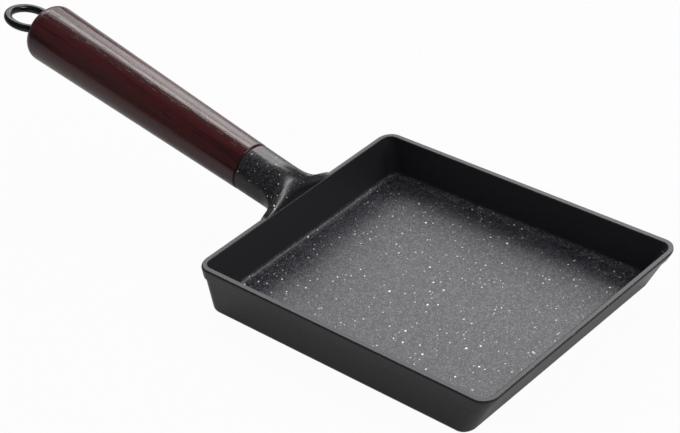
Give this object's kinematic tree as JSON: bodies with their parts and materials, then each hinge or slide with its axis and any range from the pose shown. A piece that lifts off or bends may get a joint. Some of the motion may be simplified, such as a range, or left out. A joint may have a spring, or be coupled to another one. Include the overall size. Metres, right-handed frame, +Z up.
{
  "type": "tamagoyaki pan",
  "caption": "Rectangular rolled-omelette pan with straight walls, a rolled rim, a round neck, a turned wooden grip and a hanging eye.",
  "frame": {"origin": "centre of the flat underside, at the height of the surface the pan rests on", "axes": "+Z up, +X from the grip to the front wall, +Y to the left when looking along +X"},
  "size_m": [0.3777, 0.1324, 0.0804],
  "materials": {
    "coated_aluminium": "die-cast aluminium with a dark grey speckled non-stick coating",
    "induction_steel": "brushed stainless",
    "gasket_fibre": "matt dark fibre",
    "zinc_plated_steel": "zinc plated",
    "stained_wood": "dark red-brown stain under clear gloss lacquer",
    "black_steel": "gloss black over steel"
  },
  "bodies": {
    "root": {"pan_body": "coated_aluminium", "base_plate": "induction_steel", "neck_gasket": "gasket_fibre", "thread_insert": "zinc_plated_steel", "wood_grip": "stained_wood", "spring_washer": "zinc_plated_steel", "end_washer": "black_steel", "eye_rod": "black_steel"}
  },
  "joints": []
}
